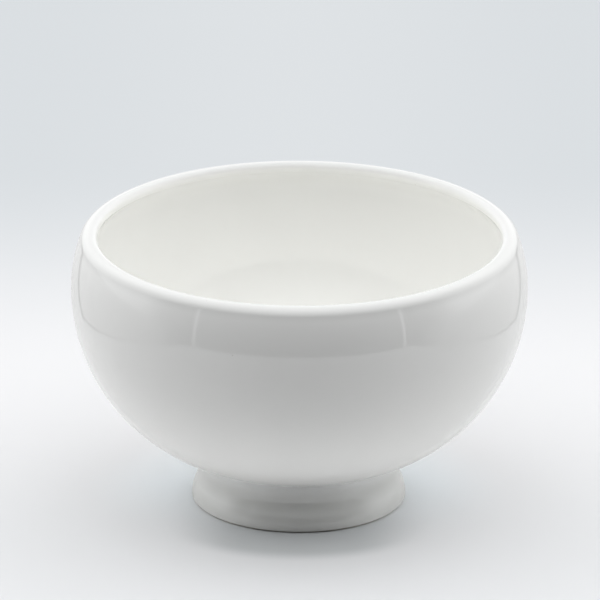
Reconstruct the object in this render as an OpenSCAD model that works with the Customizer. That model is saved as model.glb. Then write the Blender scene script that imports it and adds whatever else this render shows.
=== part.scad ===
// A footed latte bowl in glazed porcelain. The clay bowl is cast in one mould and its foot ring in
// another. The ring is stuck to the underside with slip, the seam is sponged to a smooth curve, and
// everything is glazed but the rim that it stands on.
// Every piece is turned about Z. The bowl stands on z = 0, and all lengths are in millimetres.

/* [Bowl] */
// Widest diameter, over the glaze
bowl_d = 140; // [120:1:170]
// Height from the table to the top of the lip
bowl_h = 86; // [78:0.5:98]
// Height of the widest line above the table
belly_z = 68.4; // [60:0.1:76]
// Radius of the flat middle of the underside and of the floor
floor_r = 13.9; // [8:0.1:18]
// Radius of the curve that draws the wall in above the widest line
shoulder_r = 42.4; // [28:0.2:60]

/* [Wall] */
// Thickness of the wall, clay and both coats of glaze
wall = 4; // [3:0.1:5.5]
// Thickness of the floor in the middle, clay and both coats of glaze
floor_t = 5; // [3.5:0.1:8]
// Radius of the lip's outer edge
lip_r = 3.7; // [2.5:0.1:5]
// Share of the height from the widest line to the lip's top where the inside starts to draw in faster,
// which thickens the lip
lip_draw_from = 0.55; // [0.4:0.05:0.75]
// Radius of the inside's curve above that
lip_draw_r = 12; // [8:0.5:20]

/* [Foot] */
// Diameter of the foot at its widest, over the glaze
foot_d = 65.8; // [56:0.2:80]
// Height of the flat middle of the underside above the table
foot_h = 12; // [9:0.1:18]
// How far the foot spreads beyond its neck
foot_flare = 2.4; // [0.8:0.1:4]
// Radius of the swell of the flank just above the foot's widest line
foot_swell_r = 12; // [4:0.5:18]
// Thickness of the foot ring at its base
foot_wall = 5.2; // [4:0.1:8]
// Radius of both edges of the rim that the foot stands on
foot_edge_r = 1; // [0.8:0.1:1.9]
// Radius of the curve between the foot's neck and the bowl
neck_r = 4; // [2:0.5:8]
// Radius of the curve between the foot and the underside, inside the ring
recess_r = 2.5; // [1:0.5:5]
// Thickness of the slip between the foot ring and the bowl
slip_t = 0.4; // [0.2:0.1:1]

/* [Glaze] */
// Thickness of a coat of glaze
glaze_t = 0.3; // [0.1:0.05:0.5]
// Height of the glaze's lower edge above the table
bare_h = 0.4; // [0.2:0.05:1]

/* [Smoothness] */
// Largest gap between a drawn curve and the true one
curve_gap = 0.012; // [0.005:0.001:0.05]

/* [Hidden] */
$fn = 240;

bowl_r = bowl_d / 2;
foot_r = foot_d / 2;
floor_z = foot_h + floor_t;
// Inner radius of the foot ring, and its neck's outer radius
recess_wall_r = foot_r - foot_wall;
foot_neck_r = foot_r - foot_flare;
// How far the belly's oval reaches sideways and down from the widest line
belly_across = bowl_r - floor_r;
belly_down = belly_z - foot_h;
inside_across = belly_across - wall;
inside_down = belly_z - floor_z;
// The shoulder's centre and the inner wall's radius there
shoulder_c = [bowl_r - shoulder_r, belly_z];
inner_shoulder_r = shoulder_r - wall;
// The outer lip runs smoothly out of the shoulder at this angle, and is highest at this radius
lip_turn = asin((bowl_h - lip_r - belly_z) / (shoulder_r - lip_r));
lip_top_r = shoulder_c[0] + (shoulder_r - lip_r) * cos(lip_turn);
// Where the inside starts to draw in to the lip, and the centre of its curve from there
draw_turn = asin(lip_draw_from * (bowl_h - belly_z) / inner_shoulder_r);
draw_c = shoulder_c + (inner_shoulder_r - lip_draw_r) * [cos(draw_turn), sin(draw_turn)];
// The inner lip is as high, and its radius lets it run smoothly into that curve
lip_reach = [lip_top_r, bowl_h] - draw_c;
inner_lip_r = (lip_reach * lip_reach - lip_draw_r * lip_draw_r) / (2 * (lip_draw_r + lip_reach[1]));
inner_lip_turn = atan2(lip_reach[1] - inner_lip_r, lip_reach[0]);

function unit(v) = v / norm(v);
function toward(a) = [cos(a), sin(a)];
function angle_of(v) = atan2(v[1], v[0]);
function steps(r, turn) = max(2, ceil(abs(turn) / (2 * acos(1 - curve_gap / r))));

// A finished surface is a list of stations, each a point and the direction out of the clay there.
// What lies a depth under the surface is found by going back along those directions.
function under(line, depth) = [for (s = line) s[0] - depth * s[1]];
function reversed(line) = [for (i = [len(line) - 1 : -1 : 0]) line[i]];
// Stretches that meet share a station, which is kept once
function joined(lines) = [
    for (i = [0 : len(lines) - 1])
        for (j = [(i == 0 ? 0 : 1) : len(lines[i]) - 1])
            lines[i][j]
];

// An arc about c. bulge is 1 where the clay is on the centre's side, and -1 where it is beyond the arc
function arc(c, r, from, to, bulge) = [
    for (i = [0 : steps(r, to - from)])
        let (a = from + (to - from) * i / steps(r, to - from))
            [c + r * toward(a), bulge * toward(a)]
];

// A quarter oval from the widest line, at 0 degrees, down to the flat middle, at 90 degrees
function oval_point(across, down, t) = [floor_r + across * cos(t), belly_z - down * sin(t)];
function oval_out(across, down, t) = unit([down * cos(t), -across * sin(t)]);
function oval(across, down, from, to, bulge) = [
    for (i = [0 : steps(max(across, down), to - from)])
        let (t = from + (to - from) * i / steps(max(across, down), to - from))
            [oval_point(across, down, t), bulge * oval_out(across, down, t)]
];

// The place on the belly, in degrees, from which a step of length out straight off the surface
// ends at radius r
function belly_turn(r, out, low = 0, high = 90, tries = 40) =
    let (t = (low + high) / 2)
    let (reached = oval_point(belly_across, belly_down, t)[0] + out * oval_out(belly_across, belly_down, t)[0])
    tries == 0 ? t
    : reached > r ? belly_turn(r, out, t, high, tries - 1)
    : belly_turn(r, out, low, t, tries - 1);

function off_belly(t, out) = oval_point(belly_across, belly_down, t) + out * oval_out(belly_across, belly_down, t);

// Where the two curves of the foot leave the belly, and where the foot ring's walls reach their seat
neck_turn = belly_turn(foot_neck_r + neck_r, neck_r);
recess_turn = belly_turn(recess_wall_r - recess_r, recess_r);
seat_out = slip_t - glaze_t;
seat_outer_turn = belly_turn(foot_neck_r - glaze_t, seat_out);
seat_inner_turn = belly_turn(recess_wall_r + glaze_t, seat_out);
neck_c = off_belly(neck_turn, neck_r);
recess_c = off_belly(recess_turn, recess_r);

// The rounded edges of the rim that the foot stands on, bare clay below the glaze's lower edge
edge_z = foot_edge_r - glaze_t;
outer_edge_c = [foot_r - foot_edge_r, edge_z];
inner_edge_c = [recess_wall_r + foot_edge_r, edge_z];
bare_turn = asin((edge_z - bare_h) / foot_edge_r);

// The hollow flank of the foot stands upright at the neck and runs smoothly into the swell, and the
// swell into the outer edge
swell_c = [foot_r - foot_swell_r, edge_z];
flank_drop = neck_c[1] - edge_z;
flank_r = (foot_flare * foot_flare + flank_drop * flank_drop) / (2 * foot_flare) - foot_swell_r;
flank_c = [foot_neck_r + flank_r, neck_c[1]];
flank_turn = angle_of(flank_c - swell_c);

// Finished surfaces, each a stretch of stations
outer_lip_line = arc([lip_top_r, bowl_h - lip_r], lip_r, 90, lip_turn, 1);
shoulder_line = arc(shoulder_c, shoulder_r, lip_turn, 0, 1);
belly_line = oval(belly_across, belly_down, 0, neck_turn, 1);
seat_line = oval(belly_across, belly_down, neck_turn, recess_turn, 1);
ceiling_line = oval(belly_across, belly_down, recess_turn, 90, 1);
ceiling_middle = [[[floor_r, foot_h], [0, -1]], [[0, foot_h], [0, -1]]];
neck_line = arc(neck_c, neck_r, angle_of(-oval_out(belly_across, belly_down, neck_turn)), 180, -1);
flank_line = arc(flank_c, flank_r, 180, 180 + flank_turn, -1);
swell_line = arc(swell_c, foot_swell_r, flank_turn, 0, 1);
outer_edge_glazed = arc(outer_edge_c, foot_edge_r, 0, -bare_turn, 1);
outer_edge_bare = arc(outer_edge_c, foot_edge_r, -bare_turn, -90, 1);
inner_edge_bare = arc(inner_edge_c, foot_edge_r, -90, bare_turn - 180, 1);
inner_edge_glazed = arc(inner_edge_c, foot_edge_r, bare_turn - 180, -180, 1);
recess_wall_line = [[[recess_wall_r, edge_z], [-1, 0]], [[recess_wall_r, recess_c[1]], [-1, 0]]];
recess_line = arc(recess_c, recess_r, 0, angle_of(-oval_out(belly_across, belly_down, recess_turn)), -1);
inner_lip_line = arc([lip_top_r, bowl_h - inner_lip_r], inner_lip_r, 90, 180 + inner_lip_turn, 1);
lip_draw_line = arc(draw_c, lip_draw_r, inner_lip_turn, draw_turn, -1);
inner_shoulder_line = arc(shoulder_c, inner_shoulder_r, draw_turn, 0, -1);
inner_belly_line = oval(inside_across, inside_down, 0, 90, -1);
floor_middle = [[[floor_r, floor_z], [0, 1]], [[0, floor_z], [0, 1]]];

outside = joined([outer_lip_line, shoulder_line, belly_line]);
inside = joined([inner_lip_line, lip_draw_line, inner_shoulder_line, inner_belly_line, floor_middle]);
// The top of the foot ring, parallel to the underside with the slip between them
seat = [
    for (i = [0 : len(seat_line) - 1])
        off_belly(seat_outer_turn + (seat_inner_turn - seat_outer_turn) * i / (len(seat_line) - 1), seat_out)
];

// A piece turned from its outline of [radius, height] points
module turned(outline) {
    rotate_extrude()
        polygon(outline);
}

// A coat of glaze as thick as glaze_t, under a finished surface
module coat(line) {
    turned(concat(under(line, 0), reversed(under(line, glaze_t))));
}

// The cast clay bowl, from the middle of its underside round the lip to the middle of its floor
module bowl_body() {
    underside = joined([outside, seat_line, ceiling_line, ceiling_middle]);
    color("#ece7dc")
        turned(joined([reversed(under(underside, glaze_t)), under(inside, glaze_t)]));
}

// The cast clay foot ring, which stands on its bare rim and is cut to the underside's curve on top
module foot_ring() {
    edges = joined([outer_edge_glazed, outer_edge_bare]);
    inner_edges = joined([inner_edge_bare, inner_edge_glazed, recess_wall_line]);
    color("#e5dfd2")
        turned(concat(
            under(joined([flank_line, swell_line, edges]), glaze_t),
            under(inner_edges, glaze_t),
            reversed(seat)
        ));
}

// The slip that holds the ring, smoothed to a curve on both sides of it
module slip_joint() {
    color("#d9d2c4")
        turned(concat(
            under(joined([reversed(neck_line), seat_line, reversed(recess_line)]), glaze_t),
            reversed(seat)
        ));
}

// Glaze on the outside, from the top of the lip to just above the table
module outer_glaze() {
    color("#f3f4f4")
        coat(joined([outside, neck_line, flank_line, swell_line, outer_edge_glazed]));
}

// Glaze on the inside, from the top of the lip to the middle of the floor
module inner_glaze() {
    color("#f7f5ef")
        coat(inside);
}

// Glaze on the underside, within the foot ring
module recess_glaze() {
    color("#eeefef")
        coat(joined([inner_edge_glazed, recess_wall_line, recess_line, ceiling_line, ceiling_middle]));
}

bowl_body();
foot_ring();
slip_joint();
outer_glaze();
inner_glaze();
recess_glaze();
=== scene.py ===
import math

import bmesh
import bpy
from mathutils import Matrix, Vector, noise


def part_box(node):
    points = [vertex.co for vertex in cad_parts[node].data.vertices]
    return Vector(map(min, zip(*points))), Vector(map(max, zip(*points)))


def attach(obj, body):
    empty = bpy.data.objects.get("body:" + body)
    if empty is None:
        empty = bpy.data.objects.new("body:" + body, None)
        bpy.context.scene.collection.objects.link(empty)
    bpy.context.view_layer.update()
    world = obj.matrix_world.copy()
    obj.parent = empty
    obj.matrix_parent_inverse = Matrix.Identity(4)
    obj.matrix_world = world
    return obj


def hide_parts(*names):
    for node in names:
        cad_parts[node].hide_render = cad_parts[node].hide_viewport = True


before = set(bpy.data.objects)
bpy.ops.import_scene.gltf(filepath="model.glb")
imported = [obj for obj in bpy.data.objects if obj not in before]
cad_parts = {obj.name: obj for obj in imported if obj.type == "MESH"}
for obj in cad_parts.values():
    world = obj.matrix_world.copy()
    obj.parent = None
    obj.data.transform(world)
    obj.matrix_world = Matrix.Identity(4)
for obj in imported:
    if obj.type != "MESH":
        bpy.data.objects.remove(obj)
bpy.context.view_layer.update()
mm = 0.001

# The finished surfaces are drawn again from the sizes of the solids, finely enough for a glossy glaze.
# What a node's box tells is read from it, and the rest is as in the solids.
lowOuter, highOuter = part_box("outer_glaze")
lowInner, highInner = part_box("inner_glaze")
lowClay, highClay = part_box("bowl_body")
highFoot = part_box("foot_ring")[1]
glazeT = highOuter.z - highClay.z  # thickness of a coat

bowl = {
    "radius": highOuter.x,
    "height": highOuter.z,
    "bellyZ": 68.4 * mm,     # height of the widest line
    "floorR": 13.9 * mm,     # flat middle of the floor and of the underside
    "shoulderR": 42.4 * mm,
    "lipR": 3.7 * mm,
    "lipDrawFrom": 0.55,     # share of the height over the widest line where the inside draws in faster
    "lipDrawR": 12 * mm,
    "wall": highOuter.x - highInner.x + glazeT,
    "floorZ": lowInner.z + glazeT,
    "undersideZ": lowClay.z - glazeT,
}
foot = {
    "radius": highFoot.x + glazeT,
    "flare": 2.4 * mm,
    "swellR": 12 * mm,       # swell of the flank down to its widest line
    "wall": 5.2 * mm,
    "edgeR": 1 * mm,         # both edges of the rim that it stands on
    "neckR": 4 * mm,
    "recessR": 2.5 * mm,
    "bareZ": lowOuter.z,     # where the glaze stops
    "endRoll": 0.8,          # share of its thickness that the glaze loses at its wiped end
    "slipT": 0.4 * mm,
}
lathe = {
    "around": 320,           # faces round the axis
    "turn": 1.5,             # degrees from one station to the next on what shows
    "hiddenStep": 4,         # every fourth station is kept on the clay side of a coat
    "seatSteps": 12,         # stations on the clay where the ring meets the bowl
    "axisR": 1e-9,           # a station nearer the axis than this is one point
    "crease": 40,            # degrees from which an edge stays sharp
    "halvings": 40,          # steps of the search for a place on the belly
}
ripple = {                   # how far the fired glaze dips, always inwards
    "wave": 26 * mm, "depth": 0.036 * mm,
    "smallWave": 9 * mm, "smallDepth": 0.008 * mm, "smallShift": Vector((7, 3, 5)),
}


def arc(centre, r, start, end, bulge):
    count = max(2, math.ceil(abs(end - start) / lathe["turn"]))
    line = []
    for i in range(count + 1):
        a = math.radians(start + (end - start) * i / count)
        away = Vector((math.cos(a), math.sin(a)))
        line.append((centre + r * away, bulge * away))
    return line


# The belly, and the inside below the widest line, are quarter ovals from 0 degrees down to 90
def ovalPoint(across, down, t):
    t = math.radians(t)
    return Vector((bowl["floorR"] + across * math.cos(t), bowl["bellyZ"] - down * math.sin(t)))


def ovalOut(across, down, t):
    t = math.radians(t)
    return Vector((down * math.cos(t), -across * math.sin(t))).normalized()


def oval(across, down, start, end, bulge):
    count = max(2, math.ceil(abs(end - start) / lathe["turn"]))
    turns = [start + (end - start) * i / count for i in range(count + 1)]
    return [(ovalPoint(across, down, t), bulge * ovalOut(across, down, t)) for t in turns]


def straight(start, end, out):
    start, end, out = Vector(start), Vector(end), Vector(out)
    return [(start, out), (start.lerp(end, 0.5), out), (end, out)]


def bearing(v):
    return math.degrees(math.atan2(v.y, v.x))


def joined(*lines):
    return list(lines[0]) + [station for line in lines[1:] for station in line[1:]]


bellyAcross = bowl["radius"] - bowl["floorR"]
bellyDown = bowl["bellyZ"] - bowl["undersideZ"]


def offBelly(t, out):
    return ovalPoint(bellyAcross, bellyDown, t) + out * ovalOut(bellyAcross, bellyDown, t)


# The place on the belly, in degrees, from which a step straight off the surface ends at this radius
def bellyTurn(radius, out):
    low, high = 0, 90
    for _ in range(lathe["halvings"]):
        t = (low + high) / 2
        if offBelly(t, out).x > radius:
            low = t
        else:
            high = t
    return t


# Outside, from the top of the lip to the foot
shoulderC = Vector((bowl["radius"] - bowl["shoulderR"], bowl["bellyZ"]))
lipTurn = math.degrees(math.asin(
    (bowl["height"] - bowl["lipR"] - bowl["bellyZ"]) / (bowl["shoulderR"] - bowl["lipR"])))
lipC = shoulderC + (bowl["shoulderR"] - bowl["lipR"]) * Vector(
    (math.cos(math.radians(lipTurn)), math.sin(math.radians(lipTurn))))
neckX = foot["radius"] - foot["flare"]
recessX = foot["radius"] - foot["wall"]
neckT = bellyTurn(neckX + foot["neckR"], foot["neckR"])
recessT = bellyTurn(recessX - foot["recessR"], foot["recessR"])
neckC = offBelly(neckT, foot["neckR"])
recessC = offBelly(recessT, foot["recessR"])
edgeZ = foot["edgeR"] - glazeT
outerEdgeC = Vector((foot["radius"] - foot["edgeR"], edgeZ))
innerEdgeC = Vector((recessX + foot["edgeR"], edgeZ))
bareTurn = math.degrees(math.asin((edgeZ - foot["bareZ"]) / foot["edgeR"]))
swellC = Vector((foot["radius"] - foot["swellR"], edgeZ))
flankDrop = neckC.y - edgeZ
flankR = (foot["flare"] ** 2 + flankDrop ** 2) / (2 * foot["flare"]) - foot["swellR"]
flankC = Vector((neckX + flankR, neckC.y))
flankTurn = bearing(flankC - swellC)

outside = joined(
    arc(lipC, bowl["lipR"], 90, lipTurn, 1),
    arc(shoulderC, bowl["shoulderR"], lipTurn, 0, 1),
    oval(bellyAcross, bellyDown, 0, neckT, 1),
    arc(neckC, foot["neckR"], bearing(-ovalOut(bellyAcross, bellyDown, neckT)), 180, -1),
    arc(flankC, flankR, 180, 180 + flankTurn, -1),
    arc(swellC, foot["swellR"], flankTurn, 0, 1),
    arc(outerEdgeC, foot["edgeR"], 0, -bareTurn, 1),
)

# Inside, from the top of the lip to the middle of the floor
innerShoulderR = bowl["shoulderR"] - bowl["wall"]
drawRise = bowl["lipDrawFrom"] * (bowl["height"] - bowl["bellyZ"])
drawTurn = math.degrees(math.asin(drawRise / innerShoulderR))
drawC = shoulderC + (innerShoulderR - bowl["lipDrawR"]) * Vector(
    (math.cos(math.radians(drawTurn)), math.sin(math.radians(drawTurn))))
reach = Vector((lipC.x, bowl["height"])) - drawC
innerLipR = (reach.length_squared - bowl["lipDrawR"] ** 2) / (2 * (bowl["lipDrawR"] + reach.y))
innerLipTurn = math.degrees(math.atan2(reach.y - innerLipR, reach.x))
inside = joined(
    arc(Vector((lipC.x, bowl["height"] - innerLipR)), innerLipR, 90, 180 + innerLipTurn, 1),
    arc(drawC, bowl["lipDrawR"], innerLipTurn, drawTurn, -1),
    arc(shoulderC, innerShoulderR, drawTurn, 0, -1),
    oval(bellyAcross - bowl["wall"], bowl["bellyZ"] - bowl["floorZ"], 0, 90, -1),
    straight((bowl["floorR"], bowl["floorZ"]), (0, bowl["floorZ"]), (0, 1)),
)

# Underneath, from just above the table, up inside the foot ring and to the middle
recess = joined(
    arc(innerEdgeC, foot["edgeR"], bareTurn - 180, -180, 1),
    straight((recessX, edgeZ), (recessX, recessC.y), (-1, 0)),
    arc(recessC, foot["recessR"], 0, bearing(-ovalOut(bellyAcross, bellyDown, recessT)), -1),
    oval(bellyAcross, bellyDown, recessT, 90, 1),
    straight((bowl["floorR"], bowl["undersideZ"]), (0, bowl["undersideZ"]), (0, -1)),
)

# The foot ring's clay, which shows only where the glaze was wiped off its rim
footOutside = joined(
    arc(flankC, flankR, 180, 180 + flankTurn, -1),
    arc(swellC, foot["swellR"], flankTurn, 0, 1),
    arc(outerEdgeC, foot["edgeR"], 0, -90, 1),
    straight((outerEdgeC.x, -glazeT), (innerEdgeC.x, -glazeT), (0, -1)),
    arc(innerEdgeC, foot["edgeR"], -90, -180, 1),
    straight((recessX, edgeZ), (recessX, recessC.y), (-1, 0)),
)
seatOut = foot["slipT"] - glazeT
seatFrom = bellyTurn(recessX + glazeT, seatOut)
seatTo = bellyTurn(neckX - glazeT, seatOut)
seat = [offBelly(seatFrom + (seatTo - seatFrom) * i / lathe["seatSteps"], seatOut)
        for i in range(lathe["seatSteps"] + 1)]


# A skin is a closed outline of (point, way out, share of the ripple that it takes). Where the glaze was
# wiped off the foot its end is rolled to a round edge.
def skin(line, rolledEnd=None):
    front = []
    for point, out in line:
        dip = 0
        if rolledEnd is not None:
            share = max(0, 1 - (point - line[rolledEnd][0]).length / glazeT)
            dip = foot["endRoll"] * glazeT * (1 - math.sqrt(1 - share * share))
        front.append((point - dip * out, out, 1))
    step = lathe["hiddenStep"]
    kept = [s for i, s in enumerate(line) if i % step == 0 or i == len(line) - 1]
    return front + [(point - glazeT * out, out, 0) for point, out in reversed(kept)]


def dipAt(place):
    large = 0.5 + 0.5 * noise.noise(place / ripple["wave"])
    small = 0.5 + 0.5 * noise.noise(place / ripple["smallWave"] + ripple["smallShift"])
    return ripple["depth"] * large + ripple["smallDepth"] * small


def turned(name, outline):
    around = lathe["around"]
    places, rings, faces = [], [], []
    for point, out, share in outline:
        onAxis = point.x < lathe["axisR"]
        first = len(places)
        rings.append([first] * around if onAxis else list(range(first, first + around)))
        for j in range(1 if onAxis else around):
            a = 2 * math.pi * j / around
            turn = Vector((math.cos(a), math.sin(a), 0))
            place = point.x * turn + Vector((0, 0, point.y))
            away = out.x * turn + Vector((0, 0, out.y))
            places.append(place - share * dipAt(place) * away)
    for ring, after in zip(rings, rings[1:] + rings[:1]):
        for j in range(around):
            k = (j + 1) % around
            corners = list(dict.fromkeys((ring[j], ring[k], after[k], after[j])))
            if len(corners) > 2:
                faces.append(corners)
    mesh = bpy.data.meshes.new(name)
    mesh.from_pydata(places, [], faces)
    shell = bmesh.new()
    shell.from_mesh(mesh)
    bmesh.ops.recalc_face_normals(shell, faces=shell.faces)
    shell.to_mesh(mesh)
    shell.free()
    mesh.shade_smooth()
    mesh.set_sharp_from_angle(angle=math.radians(lathe["crease"]))
    piece = bpy.data.objects.new(name, mesh)
    bpy.context.scene.collection.objects.link(piece)
    print("turned", name, "with", len(places), "points")
    return piece


outerCoat = turned("outerCoat", skin(outside, -1))
innerCoat = turned("innerCoat", skin(inside))
recessCoat = turned("recessCoat", skin(recess, 0))
footClay = turned("footClay", [(point - glazeT * out, out, 0) for point, out in footOutside]
                  + [(point, Vector((0, 1)), 0) for point in seat])
for piece, node in ((outerCoat, "outer_glaze"), (innerCoat, "inner_glaze"),
                    (recessCoat, "recess_glaze"), (footClay, "foot_ring")):
    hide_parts(node)
    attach(piece, "root")

# The camera looks down from far away with a long lens. aimPixel is where its aim shows in the image.
view = {
    "aim": Vector((0, 0, 43 * mm)), "aimPixel": (299.2, 363.6), "imageSide": 600,
    "distance": 3.0715, "elevation": 21.06, "roll": 0.2,
    "lens": 600, "sensor": 36, "clip": (0.1, 50),
}
tilt, roll = math.radians(view["elevation"]), math.radians(view["roll"])
toAim = Vector((0, math.cos(tilt), -math.sin(tilt)))
level, steep = Vector((1, 0, 0)), Vector((0, math.sin(tilt), math.cos(tilt)))
right = math.cos(roll) * level + math.sin(roll) * steep
above = math.cos(roll) * steep - math.sin(roll) * level
perPixel = view["sensor"] / view["lens"] / view["imageSide"]
offX = (view["aimPixel"][0] - view["imageSide"] / 2) * perPixel
offY = (view["imageSide"] / 2 - view["aimPixel"][1]) * perPixel
ahead = (toAim - offX * right - offY * above).normalized()
right = ahead.cross(above).normalized()
above = right.cross(ahead)
cameraData = bpy.data.cameras.new("camera")
cameraData.lens, cameraData.sensor_width = view["lens"], view["sensor"]
cameraData.clip_start, cameraData.clip_end = view["clip"]
camera = bpy.data.objects.new("camera", cameraData)
camera.matrix_world = (Matrix.Translation(view["aim"] - view["distance"] * toAim)
                       @ Matrix((right, above, -ahead)).transposed().to_4x4())
bpy.context.scene.collection.objects.link(camera)
bpy.context.scene.camera = camera
bpy.context.scene.view_settings.view_transform = "Standard"
print("camera placed")


# A wrapped socket. Sums and products of values add their Math nodes.
class Wire:
    def __init__(self, tree, socket=None):
        self.tree, self.socket = tree, socket

    def add(self, kind, settings, inputs, output=0):
        node = self.tree.nodes.new("ShaderNode" + kind)
        for name, value in settings.items():
            if name == "stops":
                ramp = node.color_ramp.elements
                ramp.remove(ramp[1])
                ramp[0].position, ramp[0].color = value[0][0], (*value[0][1], 1)
                for position, colour in value[1:]:
                    ramp.new(position).color = (*colour, 1)
            else:
                setattr(node, name, value)
        for name, value in inputs.items():
            if isinstance(value, Wire):
                self.tree.links.new(value.socket, node.inputs[name])
            else:
                node.inputs[name].default_value = value
        return Wire(self.tree, node.outputs[output]) if len(node.outputs) else None

    def maths(self, operation, *values):
        return self.add("Math", {"operation": operation}, dict(enumerate(values)))

    def __add__(self, other):
        return self.maths("ADD", self, other)

    def __sub__(self, other):
        return self.maths("SUBTRACT", self, other)

    def __rsub__(self, other):
        return self.maths("SUBTRACT", other, self)

    def __mul__(self, other):
        return self.maths("MULTIPLY", self, other)

    def __lt__(self, other):
        return self.maths("LESS_THAN", self, other)

    def __gt__(self, other):
        return self.maths("GREATER_THAN", self, other)

    def __abs__(self):
        return self.maths("ABSOLUTE", self)

    __radd__ = __add__
    __rmul__ = __mul__

    # From 0 at low to 1 at high, with soft ends. low may be the larger one.
    def rise(self, low, high):
        return self.add("MapRange", {"interpolation_type": "SMOOTHSTEP"},
                        {"Value": self, "From Min": low, "From Max": high})

    def tint(self, dark, light):
        dark, light = (c if isinstance(c, Wire) else (*c, 1) for c in (dark, light))
        return self.add("Mix", {"data_type": "RGBA"}, {0: self, 6: dark, 7: light}, 2)


def between(share, low, high):
    return low + (high - low) * share


def newMaterial(name):
    material = bpy.data.materials.new(name)
    material.use_nodes = True
    material.node_tree.nodes.clear()
    return material, Wire(material.node_tree)


def finished(wire, surface):
    wire.add("OutputMaterial", {}, {"Surface": surface})


# Small round marks, each about as wide as size and one in many cells of the Voronoi
def specks(place, apart, size, share):
    cell = {"Vector": place, "Scale": 1 / apart}
    near = place.add("TexVoronoi", {}, cell)
    pick = place.add("SeparateColor", {}, {0: place.add("TexVoronoi", {}, cell, "Color")})
    return (near < size / apart / 2) * (pick < share)


def patches(place, width, detail=2):
    return place.add("TexNoise", {}, {"Vector": place, "Scale": 1 / width, "Detail": detail})


glaze = {
    "ior": 1.6, "rough": 0.04, "roughMore": 0.03, "roughWide": 9 * mm,    # a clean fired gloss
    "peel": 3.2 * mm, "peelDepth": 0.0011 * mm,
    "cloud": 34 * mm, "cloudFrom": 0.3, "cloudTo": 0.7,    # faint clouds in the white
    "poolShare": 0.8,    # how much of its pooled tone it takes where it ran together low down, partly the glaze's own tint and partly painted shade
    "thinTop": 1.5 * mm, "thinLow": 0.6 * mm, "thinShare": 0.75, "thinRough": 0.12,    # its wiped end
    "ragged": 0.7 * mm, "raggedWide": 1.1 * mm,
    "speckApart": 7 * mm, "speckWide": 0.42 * mm, "speckShare": 0.16, "speckDark": 0.22,
}


def glazeMaterial(name, tone):
    material, start = newMaterial(name)
    place = start.add("TexCoord", {}, {}, "Object")
    height = place.add("SeparateXYZ", {}, {0: place}, "Z")
    cloud = patches(place, glaze["cloud"]).rise(glaze["cloudFrom"], glaze["cloudTo"])
    colour = cloud.tint(tone["white"], tone["cloud"])
    # Under the lip the inner coat turns lighter, painted light; on the outer coat this tone is its
    # white.
    colour = height.rise(tone["browFrom"], tone["browTo"]).tint(colour, tone["paintedBrowLight"])
    # The lip takes a darker tone than the white: painted shade on its brightly lit top.
    colour = height.rise(tone["lipFrom"], tone["lipTo"]).tint(colour, tone["lip"])
    # Where the glaze ran together low down it takes a darker, greener tone: partly its own pooled tint,
    # partly painted shade in the neck and the hollows.
    pooled = height.rise(tone["poolTop"], tone["poolMiddle"])
    pooled = pooled * height.rise(tone["poolLow"], tone["poolMiddle"])
    colour = (pooled * glaze["poolShare"]).tint(colour, tone["pooled"])
    ragged = height + patches(place, glaze["raggedWide"]) * glaze["ragged"]
    thin = ragged.rise(glaze["thinTop"], glaze["thinLow"])
    # At the wiped end the clay shows through, in a tone darkened as painted shade for the dark line
    # where the foot stands.
    colour = (thin * glaze["thinShare"]).tint(colour, tone["clay"])
    # Below footTop the glaze turns darker: painted shade on the foot.
    colour = height.rise(tone["footTop"], tone["footMiddle"]).tint(colour, tone["foot"])
    specked = specks(place, glaze["speckApart"], glaze["speckWide"], glaze["speckShare"])
    colour = (specked * glaze["speckDark"]).tint(colour, tone["speck"])
    rough = glaze["rough"] + glaze["roughMore"] * patches(place, glaze["roughWide"], 4)
    rough = rough + glaze["thinRough"] * thin
    peel = patches(place, glaze["peel"], 3)
    bump = place.add("Bump", {}, {"Height": peel, "Distance": glaze["peelDepth"]})
    finished(start, start.add("BsdfPrincipled", {}, {
        "Base Color": colour, "Roughness": rough, "IOR": glaze["ior"], "Normal": bump}))
    return material


# The bare rim's clay keeps its own blotches and flecks, but its tones are darkened as painted shade for
# the dark line where the foot stands on the table.
bareClay = {
    "light": (0.64, 0.60, 0.53), "dark": (0.52, 0.475, 0.40), "fleck": (0.30, 0.22, 0.15),
    "grain": 0.35 * mm, "grainDepth": 0.02 * mm, "grainShare": 0.4,
    "blotch": 5 * mm, "blotchShare": 0.6, "darkFrom": 0.25, "lightFrom": 0.75,
    "fleckApart": 2.4 * mm, "fleckWide": 0.3 * mm, "fleckShare": 0.2, "fleckDark": 0.6,
    "rough": 0.78, "roughMore": 0.15, "ior": 1.5,
}


def clayMaterial(name, tone, smooth):
    material, start = newMaterial(name)
    place = start.add("TexCoord", {}, {}, "Object")
    grain = patches(place, tone["grain"], 5)
    mixed = patches(place, tone["blotch"]) * tone["blotchShare"] + grain * tone["grainShare"]
    colour = mixed.rise(tone["darkFrom"], tone["lightFrom"]).tint(tone["dark"], tone["light"])
    flecked = specks(place, tone["fleckApart"], tone["fleckWide"], tone["fleckShare"])
    colour = (flecked * tone["fleckDark"]).tint(colour, tone["fleck"])
    bump = place.add("Bump", {}, {"Height": grain, "Distance": tone["grainDepth"] * (1 - smooth)})
    finished(start, start.add("BsdfPrincipled", {}, {
        "Base Color": colour, "Roughness": tone["rough"] + tone["roughMore"] * grain,
        "IOR": tone["ior"], "Normal": bump}))
    return material


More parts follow.
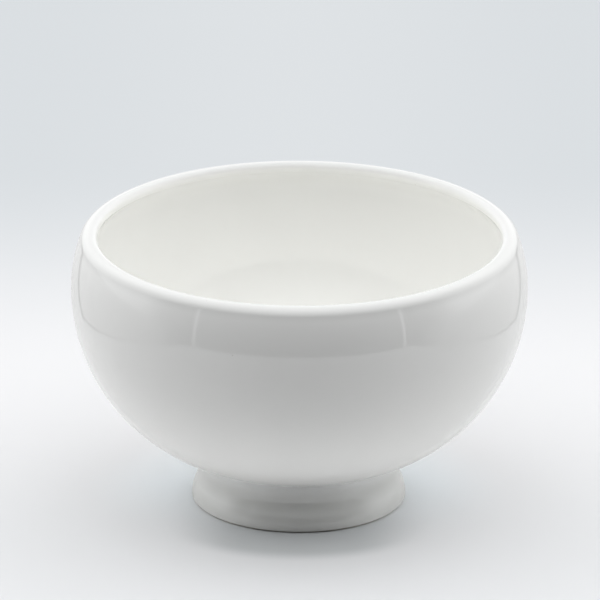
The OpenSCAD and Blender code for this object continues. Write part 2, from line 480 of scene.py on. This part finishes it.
# The tones of a coat, and the heights between which it takes the ones for its places
outerTone = {
    "white": (0.857, 0.857, 0.844), "cloud": (0.84, 0.841, 0.829),
    "clay": (0.60, 0.58, 0.53), "speck": (0.22, 0.17, 0.12),
    # The lip's darker tone is painted shade on its brightly lit top.
    "lip": (0.735, 0.735, 0.722), "lipFrom": 81.5 * mm, "lipTo": 85 * mm,
    "paintedBrowLight": (0.857, 0.857, 0.844), "browFrom": 74 * mm, "browTo": 83 * mm,    # just under the lip; inside, a lighter tone there is painted light
    "pooled": (0.815, 0.825, 0.82), "poolLow": 8 * mm, "poolMiddle": 14 * mm, "poolTop": 20 * mm,
    # The foot's darker tone is painted shade.
    "foot": (0.63, 0.635, 0.62), "footMiddle": 9 * mm, "footTop": 14.5 * mm,
}
# The inside is a lighter, warmer copy of the outer glaze: painted light, with more painted light under
# the lip and painted shade on the lip's top.
innerTone = dict(
    outerTone, white=(0.915, 0.912, 0.886), cloud=(0.905, 0.902, 0.876), paintedBrowLight=(0.95, 0.947, 0.92),
    lip=(0.735, 0.735, 0.725), lipFrom=84.1 * mm, lipTo=85.8 * mm,
    poolLow=10 * mm, poolMiddle=17 * mm, poolTop=26 * mm)
recessTone = dict(
    outerTone, foot=outerTone["white"], poolLow=3 * mm, poolMiddle=11 * mm, poolTop=15 * mm)
slipTone = dict(bareClay, light=(0.74, 0.70, 0.63), dark=(0.68, 0.63, 0.55), grain=0.8 * mm)

for piece, material, slot in (
        (outerCoat, glazeMaterial("outerGlaze", outerTone), "outer_glaze"),
        (innerCoat, glazeMaterial("innerGlaze", innerTone), "inner_glaze"),
        (recessCoat, glazeMaterial("recessGlaze", recessTone), "recess_glaze"),
        (footClay, clayMaterial("bareFootClay", bareClay, 0), "bare_clay")):
    piece.data.materials.append(material)
castClay = clayMaterial("castClay", dict(bareClay, grain=0.5 * mm), 0.5)
for node, material in (("bowl_body", castClay), ("slip_joint", clayMaterial("slip", slipTone, 0.7))):
    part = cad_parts[node]
    for materialSlot in part.material_slots:
        materialSlot.material = material
print("glazed")

# The light tent's front is open and dark, as far as this bearing on both sides. Light gets in along the
# hem of its walls. Bearings are degrees round from the camera's side.
opening = {"bearing": 53, "hemLight": 1.15, "hemWide": 0.8, "soft": 0.5}

# The table: a pale board in the tent. Its edge, the gap beyond it, the tent's walls and the opening show
# in the glaze; beyond the board the table glows with them as painted light, though it is no lamp. The
# camera sees the board go on, with painted shade that darkens its far end softly. The light that it
# throws back is painted too, a colour for diffuse rays that falls off with the distance from the bowl.
table = {
    "reach": 8,
    # Its colours for the camera, and how far back they turn into each other: painted light and shade,
    # lighter close by, darker far back and least dark in the middle
    "close": (0.708, 0.712, 0.721), "near": (0.702, 0.700, 0.708), "far": (0.541, 0.561, 0.577),
    "farMiddle": (0.562, 0.579, 0.593), "middleWide": 100 * mm,
    "closeTo": -30 * mm, "nearFrom": 60 * mm, "farFrom": 100 * mm, "farTo": 300 * mm,
    # Painted shadow close to the foot and in front of it, and painted light beside it
    "paintedContactShadow": (0.53, 0.545, 0.553), "contactTo": 56 * mm, "contactFrom": 47 * mm,
    "contactBack": 0, "contactFront": -30 * mm, "contactSide": 42 * mm, "contactMiddle": 16 * mm,
    "beside": (0.765, 0.80, 0.825), "besideTo": 68 * mm, "besideFrom": 36 * mm,
    "besideFront": -45 * mm, "besideBack": 15 * mm,
    # Its edge: straight at the sides, closest at narrowAt, and curved in front
    "boardHalf": 164 * mm, "narrowAt": 112 * mm, "widerBy": 0.45,
    "frontEdge": -404 * mm, "frontCurve": 1.37, "gap": 7 * mm, "gapGrows": 0.12, "gapDark": 0.22,
    # What the table glows with beyond the gap, painted light for the opening and the tent's walls, by
    # its bearing from a place on the belly
    "seenFrom": (33 * mm, -62 * mm), "openDark": 0.03, "tentWall": 0.79, "wallFrom": 56, "wallTo": 82,
    # How bright it is in the glaze, and how much light it throws back: a painted reflection and painted
    # bounce light, apart from its colour for the camera
    "mirrored": 0.71, "mirroredBack": 0.6, "mirroredFrom": 60 * mm, "mirroredTo": 180 * mm,
    "bounceNear": 1.04, "bounceFar": 0.35, "nearTo": 105 * mm, "farAt": 220 * mm,
    "sideDim": 0.1, "sideDimFrom": 30 * mm, "sideDimTo": 90 * mm,
    "frontDim": 0.1, "dimFrom": -100 * mm, "dimTo": -190 * mm,
    "footDim": 0.12, "footDimAt": -36 * mm, "footDimTo": 6 * mm, "footDimFrom": 33 * mm,
}
half = table["reach"]
mesh = bpy.data.meshes.new("table")
corners = [(-half, -half, 0), (half, -half, 0), (half, half, 0), (-half, half, 0)]
mesh.from_pydata(corners, [], [(0, 1, 2, 3)])
floor = bpy.data.objects.new("table", mesh)
bpy.context.scene.collection.objects.link(floor)

material, start = newMaterial("board")
place = start.add("TexCoord", {}, {}, "Object")
along = place.add("SeparateXYZ", {}, {0: place}, "Y")
across = place.add("SeparateXYZ", {}, {0: place}, "X")
inFront = along - across * across * table["frontCurve"] - table["frontEdge"]
halfHere = abs(along - table["narrowAt"]) * table["widerBy"] + table["boardHalf"]
within = inFront.maths("MINIMUM", inFront, halfHere - abs(across))
bearingHere = across.maths("ARCTAN2", abs(across) - table["seenFrom"][0], table["seenFrom"][1] - along)
atSide = bearingHere.rise(math.radians(table["wallFrom"]), math.radians(table["wallTo"]))
hemHere = abs(bearingHere - math.radians(opening["bearing"])) < math.radians(opening["hemWide"])
beyond = table["openDark"] + (table["tentWall"] - table["openDark"]) * atSide
beyond = beyond + opening["hemLight"] * hemHere
behind = along - table["narrowAt"]
gapHere = behind.maths("MAXIMUM", behind, 0) * table["gapGrows"] + table["gap"]
beyond = table["gapDark"] + (within < 0 - gapHere) * (beyond - table["gapDark"])
seen = start.add("LightPath", {}, {}, "Is Camera Ray")
soft = start.add("LightPath", {}, {}, "Is Diffuse Ray")
# The camera's colours: painted light and shade, lighter close by, darker far back and least dark in the
# middle.
shownColour = along.rise(table["closeTo"], table["nearFrom"]).tint(table["close"], table["near"])
farColour = abs(across).rise(table["middleWide"], 0).tint(table["far"], table["farMiddle"])
shownColour = along.rise(table["farFrom"], table["farTo"]).tint(shownColour, farColour)
away = place.add("VectorMath", {"operation": "LENGTH"}, {0: place}, "Value")
# A painted shadow close to the foot, in front of it.
shaded = away.rise(table["contactTo"], table["contactFrom"])
shaded = shaded * along.rise(table["contactBack"], table["contactFront"])
shaded = shaded * abs(across).rise(table["contactSide"], table["contactMiddle"])
shownColour = shaded.tint(shownColour, table["paintedContactShadow"])
# Painted light beside the foot, which lightens the shadow there.
beside = away.rise(table["besideTo"], table["besideFrom"])
beside = beside * along.rise(table["besideFront"], table["besideBack"])
shownColour = beside.tint(shownColour, table["beside"])
# The colour that diffuse rays take from the board is painted light: brightest near the bowl, dimmer far
# off, at the sides and far in front, with painted shade in front of the foot.
bounce = between(away.rise(table["farAt"], table["nearTo"]), table["bounceFar"], table["bounceNear"])
bounce = bounce * (1 - table["sideDim"] * abs(across).rise(table["sideDimFrom"], table["sideDimTo"]))
bounce = bounce * between(along.rise(table["dimTo"], table["dimFrom"]), table["frontDim"], 1)
fromFoot = place.add("VectorMath", {"operation": "DISTANCE"},
                     {0: place, 1: (0, table["footDimAt"], 0)}, "Value")
bounce = bounce * between(fromFoot.rise(table["footDimTo"], table["footDimFrom"]), table["footDim"], 1)
# The board's brightness in the glaze is a painted reflection, darker far back.
atBack = along.rise(table["mirroredFrom"], table["mirroredTo"])
mirrored = between(atBack, table["mirrored"], table["mirroredBack"])
thrown = soft.tint(mirrored, bounce)
board = start.add("BsdfDiffuse", {}, {"Color": seen.tint(thrown, shownColour)})
# Beyond the board the table glows, though it is no lamp: painted light for the gap, the tent's walls,
# the dark opening and the bright hem.
glow = start.add("Emission", {}, {"Color": (1, 1, 1, 1), "Strength": beyond})
onBoard = seen.maths("MAXIMUM", seen, within > 0)
finished(start, start.add("MixShader", {}, {0: onBoard, 1: glow, 2: board}))
floor.data.materials.append(material)
print("table laid")

# Light by elevation in degrees, for some bearings. A large soft light hangs over and behind the bowl,
# and the tent's walls glow beside it.
light = {
    "elevations": (0, 12, 24, 38, 54, 70, 90),
    "front": {
        0: (0.02, 0.02, 0.4, 0.7, 1.75, 1.7, 1.8),
        54: (0.02, 0.02, 0.25, 0.65, 1.65, 1.7, 1.8),
    },
    "walls": {
        54: (0.03, 0.03, 0.35, 0.85, 1.6, 1.65, 1.8),
        66: (0.12, 0.15, 0.45, 0.95, 1.65, 1.65, 1.8),
        90: (1.3, 1.5, 1.45, 1.4, 1.75, 1.6, 1.8),
        135: (1.25, 1.45, 1.65, 1.8, 1.75, 1.5, 1.8),
        180: (1.2, 1.1, 0.7, 1.1, 1.1, 1.2, 1.8),
    },
    "most": 4,                       # the ramps hold shares of this
    "hemTop": 17, "hemSoft": 4,      # degrees up to which the hem's light shows
    "tint": (0.992, 1, 1.006), "horizon": (0.70, 0.73, 0.75),
}
world = bpy.data.worlds.new("tent")
bpy.context.scene.world = world
world.use_nodes = True
world.node_tree.nodes.clear()
sky = Wire(world.node_tree)
toward = sky.add("TexCoord", {}, {}, "Generated")
x, y, z = (toward.add("SeparateXYZ", {}, {0: toward}, name) for name in "XYZ")
up = z.maths("ARCSINE", z) * (2 / math.pi)
bearingRound = abs(x.maths("ARCTAN2", x, 0 - y)) * math.degrees(1)


def levels(row):
    stops = [(e / 90, (v / light["most"],) * 3) for e, v in zip(light["elevations"], row)]
    return up.add("ValToRGB", {"stops": stops}, {0: up}) * light["most"]


def blendedRound(rows):
    bearings = sorted(rows)
    value = levels(rows[bearings[0]])
    for start, end in zip(bearings, bearings[1:]):
        value = between(bearingRound.rise(start, end), value, levels(rows[end]))
    return value


openFront = blendedRound(light["front"])
walls = blendedRound(light["walls"])
fromHem = bearingRound - opening["bearing"]
hem = abs(fromHem) < opening["hemWide"]
hem = hem * (up * 90).rise(light["hemTop"] + light["hemSoft"], light["hemTop"])
level = between(fromHem.rise(-opening["soft"], opening["soft"]), openFront, walls)
level = level + hem * opening["hemLight"]
lit = sky.add("Background", {}, {"Color": (*light["tint"], 1), "Strength": level})
shown = sky.add("Background", {}, {"Color": (*light["horizon"], 1), "Strength": 1})
straightOn = sky.add("LightPath", {}, {}, "Is Camera Ray")
sky.add("OutputWorld", {}, {"Surface": sky.add("MixShader", {}, {0: straightOn, 1: lit, 2: shown})})
print("lit")
